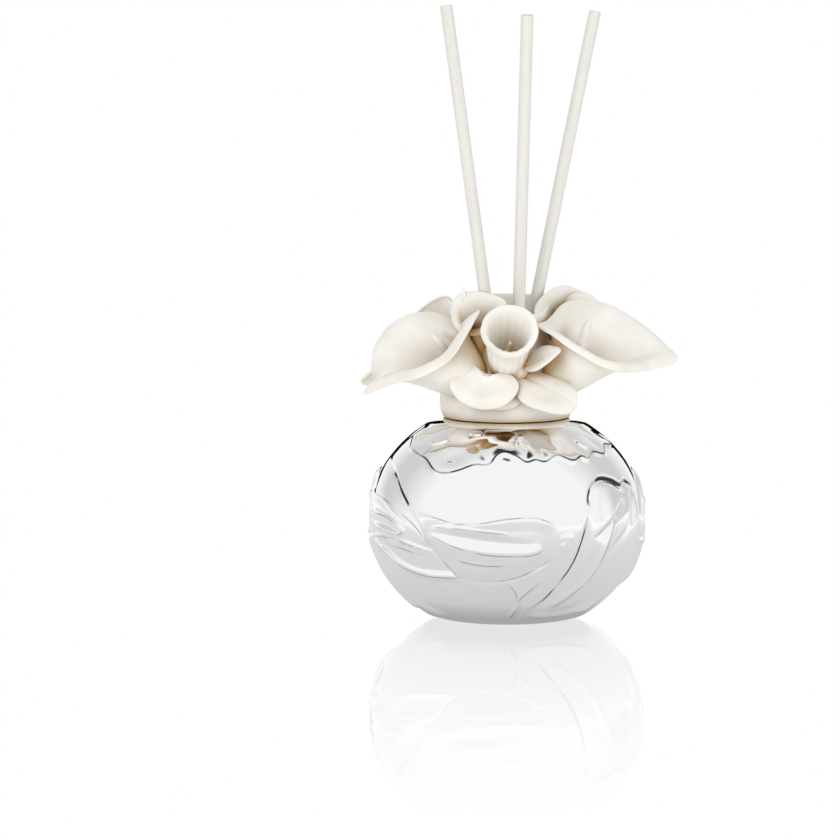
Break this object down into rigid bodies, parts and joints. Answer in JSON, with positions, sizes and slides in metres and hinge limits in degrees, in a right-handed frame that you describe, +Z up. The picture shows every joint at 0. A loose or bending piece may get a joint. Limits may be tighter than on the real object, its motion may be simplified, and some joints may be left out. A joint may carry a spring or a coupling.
{
  "type": "reed diffuser",
  "caption": "Round-bellied silvered porcelain pot with a bisque stopper dressed in moulded calla lilies and narcissi, holding slanted fragrance reeds.",
  "frame": {"origin": "middle of the flat foot of the pot, where it rests on the table", "axes": "+Z up along the pot's axis, -Y to the front, which is the side with the large horizontal narcissus trumpet, +X to the right as seen from the front"},
  "size_m": [0.1037, 0.0908, 0.2027],
  "materials": {
    "silvered_porcelain": "polished",
    "bisque_porcelain": "matte",
    "silicone": "satin",
    "fibre": "matte"
  },
  "bodies": {
    "pot": {"pot": "silvered_porcelain"},
    "seal_ring": {"seal_ring": "silicone"},
    "stopper": {"stopper_body": "bisque_porcelain", "narcissus_front_trumpet": "bisque_porcelain", "narcissus_front_pistil": "bisque_porcelain", "narcissus_back_trumpet": "bisque_porcelain", "narcissus_back_pistil": "bisque_porcelain", "calla_left_spathe": "bisque_porcelain", "calla_left_spadix": "bisque_porcelain", "calla_right_spathe": "bisque_porcelain", "calla_right_spadix": "bisque_porcelain", "calla_upper_left_spathe": "bisque_porcelain", "calla_upper_left_spadix": "bisque_porcelain", "calla_rear_left_spathe": "bisque_porcelain", "calla_rear_left_spadix": "bisque_porcelain", "calla_rear_right_spathe": "bisque_porcelain", "calla_rear_right_spadix": "bisque_porcelain", "calla_back_right_spathe": "bisque_porcelain", "calla_back_right_spadix": "bisque_porcelain", "petal_front_left": "bisque_porcelain", "petal_front_right": "bisque_porcelain", "petal_front_upper": "bisque_porcelain", "petal_front_low": "bisque_porcelain", "petal_back_left": "bisque_porcelain", "petal_back_right": "bisque_porcelain", "petal_back_upper_left": "bisque_porcelain", "petal_back_upper_right": "bisque_porcelain"},
    "reed_left": {"reed_left": "fibre"},
    "reed_centre": {"reed_centre": "fibre"},
    "reed_right": {"reed_right": "fibre"}
  },
  "joints": [
    {"name": "stopper_lift", "type": "slide", "parent": "pot", "child": "seal_ring", "axis": [0, 0, 1], "range_m": [0, 0.09]},
    {"name": "stopper_turn", "type": "hinge", "parent": "seal_ring", "child": "stopper", "pos_m": [0, 0, 0.07], "axis": [0, 0, 1], "continuous": true},
    {"name": "reed_left_draw", "type": "slide", "parent": "stopper", "child": "reed_left", "axis": [-0.1357, -0.0198, 0.9906], "range_m": [0, 0.11]},
    {"name": "reed_centre_draw", "type": "slide", "parent": "stopper", "child": "reed_centre", "axis": [0.0208, -0.1386, 0.9901], "range_m": [0, 0.11]},
    {"name": "reed_right_draw", "type": "slide", "parent": "stopper", "child": "reed_right", "axis": [0.1961, 0, 0.9806], "range_m": [0, 0.11]}
  ]
}
